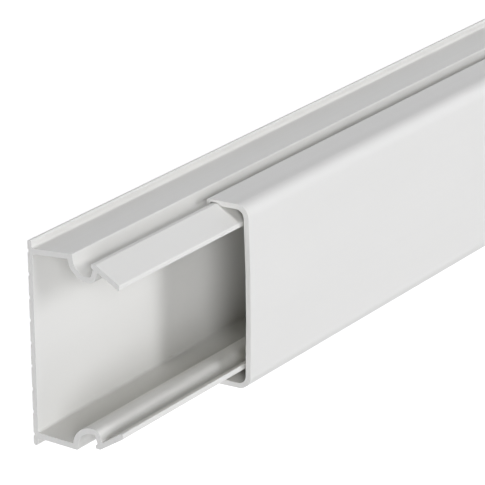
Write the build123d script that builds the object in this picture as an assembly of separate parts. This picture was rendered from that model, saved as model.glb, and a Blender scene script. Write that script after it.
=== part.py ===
"""Snap-lid cable trunking, one stock length: a base tray and its clip-on lid.

The trunking lies on its back. The wall face of the base is the plane Z = 0 and
faces down, the lid looks up, the length runs along X, and the section is
symmetrical about the plane Y = 0. X = 0 is the middle of the whole part as it
is stored, with the lid slid a little way along the base.

A section point is written (y, z): y from the middle of the tray, z out of the
wall. The side walls are drawn upright and then flared outward about their foot.
"""

from build123d import *
from math import cos, radians, sin, tan
import os

# Stock length, and how far the lid is slid along, which leaves one end open.
base_length = 2000.0
lid_length = 2000.0
lid_shift = 35.7

# Base: back plate, the grooves in its wall face, and the lips outside the walls.
foot_half_width = 16.5
plate_thickness = 0.9
plate_root_radius = 0.45
lip_reach = 1.4
lip_thickness = 0.8
lip_edge_radius = 0.35
lip_root_radius = 0.45
groove_count = 9
groove_pitch = 4.0
groove_width = 0.65
groove_depth = 0.2

# Base: side walls, up to the shoulder of the outward-facing trough.
flare_angle = 3.3
side_thickness = 0.95
shoulder_height = 8.83
shoulder_radius = 0.15

# Base: the trough that the lid's hook drops into.
trough_depth = 3.57
trough_floor_width = 3.31
trough_radius = 2.8
trough_wall = 0.95
trough_front_radius = 0.25
trough_front_lean = 23.0

# Base: the snap nose that overhangs the trough, and the cable-retaining flap.
nose_gap = 3.57
nose_inset = 1.27
nose_height = 0.63
nose_undercut = 0.2
nose_radius = 0.1
nose_foot_radius = 0.08
flap_height = 17.62
flap_tip_inset = 4.27
flap_lean = 34.7
flap_thickness = 0.9
flap_root_radius = 0.2
flap_tip_radius = 0.25

# Lid: crowned face, rounded edges and two hooked legs.
face_thickness = 0.95
face_crown = 0.33
face_over_flap = 1.1
edge_radius = 2.4
edge_inner_radius = 1.5
leg_thickness = 0.9
leg_at_nose = 0.42
hook_thickness = 0.75
hook_behind_nose = 0.4
hook_floor_gap = 0.6
hook_edge_radius = 0.35
barb_length = 0.8
barb_slope_length = 0.2
leg_relief_radius = 0.08

# Running gap between the clipped-on lid and the rest of the nose, flap and trough.
snap_clearance = 0.1


def meet(start_a, angle_a, start_b, angle_b):
    """Where two lines cross, each a point and an angle from +y in degrees."""
    ya, za = start_a
    yb, zb = start_b
    uy, uz = cos(radians(angle_a)), sin(radians(angle_a))
    vy, vz = cos(radians(angle_b)), sin(radians(angle_b))
    run = ((yb - ya) * vz - (zb - za) * vy) / (uy * vz - uz * vy)
    return ya + run * uy, za + run * uz


def beside(point, angle, distance):
    """The point this far to the left of a line that runs at angle from +y."""
    y, z = point
    return y - distance * sin(radians(angle)), z + distance * cos(radians(angle))


def flared(point):
    """Where a point of the upright side wall lies once the wall is flared."""
    inset = point[0] - foot_half_width
    height = point[1]
    turn = radians(flare_angle)
    return (
        foot_half_width + inset * cos(turn) + height * sin(turn),
        height * cos(turn) - inset * sin(turn),
    )


def profile(corners):
    """A filled section from (y, z, radius) corners, each rounded to its radius."""
    points = [(y, z) for y, z, _ in corners]
    radii = [radius for _, _, radius in corners]
    return make_face(FilletPolyline(*points, radius=radii, close=True))


def both_sides(section):
    """A right-hand section together with its mirror image across Y = 0."""
    return section + mirror(section, about=Plane.YZ)


def round_corners(section, points, radius):
    """The section with the corners nearest to these points rounded."""
    corners = [section.vertices().sort_by_distance((y, z))[0] for y, z in points]
    return fillet(corners, radius)


# Upright places on the side wall.
side_inner = foot_half_width - side_thickness
side_middle = foot_half_width - side_thickness / 2
trough_floor = foot_half_width - trough_depth
trough_front = shoulder_height + trough_floor_width
nose_top = foot_half_width - nose_inset
nose_rear = shoulder_height + nose_gap
nose_root = nose_top - nose_height - nose_undercut
flap_tip = foot_half_width - flap_tip_inset
flap_angle = 90.0 + flap_lean

# Upright corners of the trough's front wall, the nose and the flap.
front_inner = (trough_floor, trough_front)
front_outer = beside(front_inner, trough_front_lean, trough_wall)
front_foot = meet(front_outer, trough_front_lean, (trough_floor - trough_wall, 0.0), 90.0)
nose_foot = meet(front_inner, trough_front_lean, (nose_root, 0.0), 90.0)
nose_crest = meet((nose_top, 0.0), 90.0, (flap_tip, flap_height), flap_angle)
flap_under = beside((flap_tip, flap_height), flap_angle, flap_thickness)
flap_root = meet(front_outer, trough_front_lean, flap_under, flap_angle)
flap_lip = meet(flap_under, flap_angle, (0.0, flap_height), 0.0)

# Where the lid meets the flared nose, and the faces that it takes from it.
hook_front = flared((nose_top, nose_rear))[1] - hook_behind_nose
leg_at_nose_inner = flared(nose_crest)[0] + snap_clearance
leg_outer = leg_at_nose_inner + leg_at_nose
leg_inner = leg_outer - leg_thickness
hook_rear = hook_front - hook_thickness
hook_tip = flared(front_inner)[0] + hook_floor_gap
barb_face = beside(flared(front_inner), trough_front_lean - flare_angle, -snap_clearance)
flap_side = beside(flared(nose_crest), flap_angle - flare_angle, -snap_clearance)
relief_start = meet(flap_side, flap_angle - flare_angle, (leg_at_nose_inner, 0.0), 90.0)
relief_end = meet(flap_side, flap_angle - flare_angle, (leg_inner, 0.0), 90.0)
face_inner = flared((flap_tip, flap_height))[1] + face_over_flap
lid_depth = face_inner + face_thickness
inner_edge = face_inner - face_crown
outer_edge = lid_depth - face_crown


def side_section():
    """One side wall with its trough, nose and flap, flared about its foot."""
    wall = make_face(Polyline(
        (side_inner, plate_thickness / 2),
        (foot_half_width, plate_thickness / 2),
        (foot_half_width, shoulder_height),
        (side_inner, shoulder_height),
        close=True,
    ))
    wall = round_corners(wall, [(foot_half_width, shoulder_height)], shoulder_radius)
    trough = profile([
        (side_middle, shoulder_height, 0.0),
        (trough_floor, shoulder_height, trough_radius),
        (*front_inner, trough_front_radius),
        (*nose_foot, nose_foot_radius),
        (nose_top - nose_height, nose_rear, nose_radius),
        (nose_top, nose_rear, nose_radius),
        (*nose_crest, nose_radius),
        (flap_tip, flap_height, flap_tip_radius),
        (*flap_lip, flap_tip_radius),
        (*flap_root, flap_root_radius),
        (*front_foot, trough_front_radius + trough_wall),
        (trough_floor - trough_wall, shoulder_height - trough_wall, trough_radius + trough_wall),
        (side_middle, shoulder_height - trough_wall, 0.0),
    ])
    foot = Pos(foot_half_width, 0)
    return foot * Rot(0, 0, -flare_angle) * foot.inverse() * (wall + trough)


def lips_section():
    """Both lips and the sheet between them, with the wall face exactly on z = 0."""
    lip_edge = foot_half_width + lip_reach
    flat_end = lip_edge - lip_edge_radius
    lower = JernArc((flat_end, 0), (1, 0), lip_edge_radius, 90)
    upper = JernArc((lip_edge, lip_thickness - lip_edge_radius), (0, 1), lip_edge_radius, 90)
    rim = lower + Line(lower @ 1, upper @ 0) + upper
    wall_face = Line((-flat_end, 0), (flat_end, 0))
    front_face = Line((-flat_end, lip_thickness), (flat_end, lip_thickness))
    return make_face(rim + mirror(rim, about=Plane.YZ) + wall_face + front_face)


def plate_section():
    """The back plate with its rounded lips and the grooves in the wall face."""
    plate = Rectangle(2 * side_middle, plate_thickness, align=(Align.CENTER, Align.MIN))
    section = lips_section() + plate
    groove_radius = (groove_width**2 / 4 + groove_depth**2) / (2 * groove_depth)
    groove = Pos(0, groove_depth - groove_radius) * Circle(groove_radius)
    for place in range(groove_count):
        y = (place - (groove_count - 1) / 2) * groove_pitch
        section -= Pos(y, 0) * groove
    return section


def base_section():
    """The whole base: plate, lips and both side walls, with filleted roots."""
    section = plate_section() + both_sides(side_section())
    slope = tan(radians(flare_angle))
    lip_root = foot_half_width + lip_thickness * slope
    inner_foot, inner_rise = flared((side_inner, 0.0))
    plate_root = inner_foot + (plate_thickness - inner_rise) * slope
    section = round_corners(
        section, [(side * lip_root, lip_thickness) for side in (-1, 1)], lip_root_radius
    )
    return round_corners(
        section, [(side * plate_root, plate_thickness) for side in (-1, 1)], plate_root_radius
    )


def leg_outline():
    """One lid leg: thinned where it passes the nose, hooked and barbed below it."""
    lean = trough_front_lean - flare_angle
    tip_front = meet(barb_face, lean, (hook_tip, 0.0), 90.0)
    barb_tip = meet(barb_face, lean, (hook_tip + barb_length, 0.0), 90.0)
    corners = [
        (leg_outer, hook_rear, hook_edge_radius),
        (hook_tip, hook_rear, hook_edge_radius),
        (*tip_front, hook_edge_radius),
        (*barb_tip, leg_relief_radius),
        (barb_tip[0] + barb_slope_length, hook_front, leg_relief_radius),
        (leg_at_nose_inner, hook_front, leg_relief_radius),
        (*relief_start, leg_relief_radius),
        (*relief_end, leg_relief_radius),
    ]
    points = [(y, z) for y, z, _ in corners]
    radii = [radius for _, _, radius in corners]
    return FilletPolyline((leg_outer, outer_edge), *points, (leg_inner, inner_edge), radius=radii)


def lid_section():
    """The whole lid: crowned face with rounded edges, and both hooked legs."""
    leg = leg_outline()
    outside = ThreePointArc((leg_outer, outer_edge), (0, lid_depth), (-leg_outer, outer_edge))
    inside = ThreePointArc((leg_inner, inner_edge), (0, face_inner), (-leg_inner, inner_edge))
    section = make_face(leg + mirror(leg, about=Plane.YZ) + outside + inside)
    section = round_corners(
        section, [(side * leg_outer, outer_edge) for side in (-1, 1)], edge_radius
    )
    return round_corners(
        section, [(side * leg_inner, inner_edge) for side in (-1, 1)], edge_inner_radius
    )


def extruded(section, start, length):
    """A length of this section along X, from its near end at start."""
    return extrude(Plane.YZ.offset(start) * section, amount=length)


near_end = -max(base_length, lid_shift + lid_length) / 2
pieces = {
    "base_tray": extruded(base_section(), near_end, base_length),
    "snap_lid": extruded(lid_section(), near_end + lid_shift, lid_length),
}

os.makedirs("parts", exist_ok=True)
for name, solid in pieces.items():
    export_step(solid, f"parts/{name}.step")
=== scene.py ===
from math import cos, radians, sin

import bpy
from mathutils import Matrix, Vector


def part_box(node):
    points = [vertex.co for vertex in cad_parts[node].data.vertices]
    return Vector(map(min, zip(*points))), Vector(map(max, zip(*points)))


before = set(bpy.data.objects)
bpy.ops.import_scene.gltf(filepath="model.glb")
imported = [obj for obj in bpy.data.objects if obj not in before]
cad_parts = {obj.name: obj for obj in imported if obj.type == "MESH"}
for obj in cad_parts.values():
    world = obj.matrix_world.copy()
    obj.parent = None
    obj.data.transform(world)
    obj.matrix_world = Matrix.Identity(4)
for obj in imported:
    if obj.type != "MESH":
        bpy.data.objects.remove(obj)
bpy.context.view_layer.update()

# Camera: a long lens that looks down on the open end, turned on its side.
# Its place is measured from the near end of the base, on the wall face, in metres.
PHOTO_SIZE = 485
FOCAL_PIXELS = 3579
SENSOR_WIDTH = 36
CLIP_START = 0.01
CLIP_END = 100
CAMERA_FROM_NEAR_END = Vector((-0.4401, 0.2084, 0.3253))
CAMERA_RIGHT = Vector((0.5385, -0.0119, 0.8425))
CAMERA_DOWN = Vector((-0.2848, -0.9436, 0.1687))

# Plastic: white PVC. Its clouds have a share of its colour, and its sawn ends a darker
# share of it, which is painted shade.
TRAY_COLOUR = (0.70, 0.693, 0.652)
# The lid is the tray's plastic painted a little darker, as painted shade that evens out
# the stronger light on its open face.
LID_PAINTED_SHADE_COLOUR = (0.69, 0.683, 0.645)
CLOUD_SHADE = 0.985
# The sawn ends' share of the colour paints them darker, as painted shade for how the
# lamps fall on them.
CUT_PAINTED_SHADE = 0.95
SKIN_ROUGHNESS = (0.36, 0.48)
CUT_ROUGHNESS = 0.7

# Noise: cells a metre along X, Y and Z for the die lines, the clouds and the
# saw's marks, and the band of noise values that is spread over each result.
DIE_LINES = (1.5, 900, 900)
CLOUDS = (25, 90, 90)
SAW_MARKS = (3000, 350, 3000)
NOISE_DETAIL = 3
NOISE_BAND = (0.3, 0.7)

# Relief: the height of the saw's marks in metres, and the die lines' share of it.
RELIEF_DEPTH = 0.00003
DIE_RELIEF = 0.2

# A face that looks along X at least this much is a sawn end.
FACES_ALONG = 0.9

# Floor and backdrop, in metres. The floor lies a little under the wall face, so
# that the two never share a plane.
FLOOR_SIZE = 60
FLOOR_HEIGHT = -0.0002
FLOOR_COLOUR = (0.35, 0.35, 0.35, 1)
FLOOR_GLOW = 0.8
BACKDROP_COLOUR = (1, 1, 1, 1)

# Lamps: the name, the lean from upright towards +X, the lean towards +Y, the
# strength and the width. The leans and the width are in degrees.
LAMP_COLOUR = (0.985, 0.994, 1.052)
LAMPS = (
    ("key", -49, -1, 1.36, 30),
    ("key_low", -63, 0, 0.36, 14),
    ("key_upper", -48, 19, 0.95, 14),
    ("overhead", 0, 0, 0.33, 30),
    ("overhead_upper", -2, 19, 0.92, 16),
    ("fill_lower", 0, -25, 0.36, 30),
    ("fill_back", 0, -80, 0.34, 30),
    ("fill_end", 80, 10, 0.50, 40),
    ("rim", 0, 78, 0.60, 30),
)


def make_camera():
    """The photograph's viewing angle, with the section's width up the picture."""
    near_end = Vector((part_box("base_tray")[0].x, 0, 0))
    right = CAMERA_RIGHT.normalized()
    up = -(CAMERA_DOWN - CAMERA_DOWN.dot(right) * right).normalized()
    turn = Matrix((right, up, right.cross(up))).transposed().to_4x4()
    data = bpy.data.cameras.new("camera")
    data.sensor_width = SENSOR_WIDTH
    data.lens = FOCAL_PIXELS / PHOTO_SIZE * SENSOR_WIDTH
    data.clip_start = CLIP_START
    data.clip_end = CLIP_END
    camera = bpy.data.objects.new("camera", data)
    camera.matrix_world = Matrix.Translation(near_end + CAMERA_FROM_NEAR_END) @ turn
    bpy.context.scene.collection.objects.link(camera)
    bpy.context.scene.camera = camera


def new_material(name):
    """An empty node material: itself, its tree and its output's surface."""
    material = bpy.data.materials.new(name)
    material.use_nodes = True
    tree = material.node_tree
    tree.nodes.clear()
    output = tree.nodes.new("ShaderNodeOutputMaterial")
    return material, tree, output.inputs["Surface"]


def feed(tree, value, socket):
    """Sets an input to a number or colour, or links a node or an output to it."""
    if isinstance(value, (int, float, tuple)):
        socket.default_value = value
    else:
        tree.links.new(getattr(value, "outputs", [value])[0], socket)


def maths(tree, operation, *values):
    """A Math node on one or two numbers, nodes or outputs."""
    node = tree.nodes.new("ShaderNodeMath")
    node.operation = operation
    for value, socket in zip(values, node.inputs):
        feed(tree, value, socket)
    return node


def mix(tree, kind, factor, first, second):
    """A Mix node's result, of this kind, FLOAT or RGBA, from first to second."""
    node = tree.nodes.new("ShaderNodeMix")
    node.data_type = kind
    sockets = {socket.name: socket for socket in node.inputs if socket.enabled}
    feed(tree, factor, sockets["Factor"])
    feed(tree, first, sockets["A"])
    feed(tree, second, sockets["B"])
    return next(socket for socket in node.outputs if socket.enabled)


def noise(tree, cells, low, high):
    """Noise with so many cells a metre along X, Y and Z, from low to high."""
    place = tree.nodes.new("ShaderNodeTexCoord")
    stretch = tree.nodes.new("ShaderNodeMapping")
    feed(tree, place.outputs["Object"], stretch.inputs["Vector"])
    feed(tree, cells, stretch.inputs["Scale"])
    texture = tree.nodes.new("ShaderNodeTexNoise")
    feed(tree, stretch, texture.inputs["Vector"])
    feed(tree, 1, texture.inputs["Scale"])
    feed(tree, NOISE_DETAIL, texture.inputs["Detail"])
    spread = tree.nodes.new("ShaderNodeMapRange")
    feed(tree, texture, spread.inputs["Value"])
    feed(tree, NOISE_BAND[0], spread.inputs["From Min"])
    feed(tree, NOISE_BAND[1], spread.inputs["From Max"])
    feed(tree, low, spread.inputs["To Min"])
    feed(tree, high, spread.inputs["To Max"])
    return spread


def cut_ends(tree):
    """1 on the sawn ends, which look along the length, and 0 elsewhere."""
    place = tree.nodes.new("ShaderNodeTexCoord")
    split = tree.nodes.new("ShaderNodeSeparateXYZ")
    feed(tree, place.outputs["Normal"], split.inputs["Vector"])
    along = maths(tree, "ABSOLUTE", split.outputs["X"])
    return maths(tree, "GREATER_THAN", along, FACES_ALONG)


def shade(colour, share):
    """This share of a colour, opaque."""
    return (*(part * share for part in colour), 1)


def plastic(name, colour):
    """Extruded PVC: die lines along it, faint clouds, and rougher sawn ends painted a
    little darker as painted shade.
    """
    material, tree, surface = new_material(name)
    ends = cut_ends(tree)
    clouds = noise(tree, CLOUDS, 0, 1)
    skin = mix(tree, "RGBA", clouds, shade(colour, CLOUD_SHADE), shade(colour, 1))
    gloss = noise(tree, DIE_LINES, *SKIN_ROUGHNESS)
    lines = noise(tree, DIE_LINES, 0, DIE_RELIEF)
    marks = noise(tree, SAW_MARKS, 0, 1)
    bump = tree.nodes.new("ShaderNodeBump")
    feed(tree, RELIEF_DEPTH, bump.inputs["Distance"])
    feed(tree, mix(tree, "FLOAT", ends, lines, marks), bump.inputs["Height"])
    shader = tree.nodes.new("ShaderNodeBsdfPrincipled")
    # The sawn ends take the darker share of the colour: painted shade. Their higher
    # roughness and saw marks are real.
    paint = mix(tree, "RGBA", ends, skin, shade(colour, CUT_PAINTED_SHADE))
    feed(tree, paint, shader.inputs["Base Color"])
    feed(tree, mix(tree, "FLOAT", ends, gloss, CUT_ROUGHNESS), shader.inputs["Roughness"])
    feed(tree, bump, shader.inputs["Normal"])
    feed(tree, shader, surface)
    return material


def dress(node, material):
    """Gives every material slot of a CAD node this material."""
    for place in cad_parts[node].material_slots:
        place.material = material


def seen(tree):
    """1 for what the camera sees, itself or by reflection or through glass."""
    path = tree.nodes.new("ShaderNodeLightPath")
    glossy = path.outputs["Is Glossy Ray"]
    bounced = maths(tree, "MAXIMUM", glossy, path.outputs["Is Transmission Ray"])
    return maths(tree, "MAXIMUM", path.outputs["Is Camera Ray"], bounced)


def floor_material():
    """Pale, near white to the camera, and darker where the object shades it."""
    material, tree, surface = new_material("floor")
    diffuse = tree.nodes.new("ShaderNodeBsdfDiffuse")
    feed(tree, FLOOR_COLOUR, diffuse.inputs["Color"])
    glow = tree.nodes.new("ShaderNodeEmission")
    feed(tree, maths(tree, "MULTIPLY", seen(tree), FLOOR_GLOW), glow.inputs["Strength"])
    both = tree.nodes.new("ShaderNodeAddShader")
    feed(tree, diffuse, both.inputs[0])
    feed(tree, glow, both.inputs[1])
    feed(tree, both, surface)
    return material


def make_floor():
    """A wide square floor under the wall face."""
    half = FLOOR_SIZE / 2
    square = [(-half, -half), (half, -half), (half, half), (-half, half)]
    mesh = bpy.data.meshes.new("floor")
    mesh.from_pydata([(x, y, FLOOR_HEIGHT) for x, y in square], [], [(0, 1, 2, 3)])
    mesh.materials.append(floor_material())
    floor = bpy.data.objects.new("floor", mesh)
    bpy.context.scene.collection.objects.link(floor)


def make_world():
    """A white backdrop for the camera and for reflections, and no other light."""
    world = bpy.data.worlds.new("studio")
    world.use_nodes = True
    tree = world.node_tree
    tree.nodes.clear()
    backdrop = tree.nodes.new("ShaderNodeBackground")
    feed(tree, BACKDROP_COLOUR, backdrop.inputs["Color"])
    feed(tree, seen(tree), backdrop.inputs["Strength"])
    output = tree.nodes.new("ShaderNodeOutputWorld")
    feed(tree, backdrop, output.inputs["Surface"])
    bpy.context.scene.world = world


def make_lamp(name, along, across, strength, width):
    """A soft far lamp, seen from the part in the direction of these two leans."""
    data = bpy.data.lights.new(name, "SUN")
    data.energy = strength
    data.color = LAMP_COLOUR
    data.angle = radians(width)
    along = radians(along)
    across = radians(across)
    direction = Vector((sin(along) * cos(across), sin(across), cos(along) * cos(across)))
    lamp = bpy.data.objects.new(name, data)
    lamp.rotation_euler = direction.to_track_quat("Z", "Y").to_euler()
    bpy.context.scene.collection.objects.link(lamp)


make_camera()
dress("base_tray", plastic("tray_plastic", TRAY_COLOUR))
dress("snap_lid", plastic("lid_plastic", LID_PAINTED_SHADE_COLOUR))
make_floor()
make_world()
for lamp in LAMPS:
    make_lamp(*lamp)
bpy.context.scene.view_settings.view_transform = "Standard"
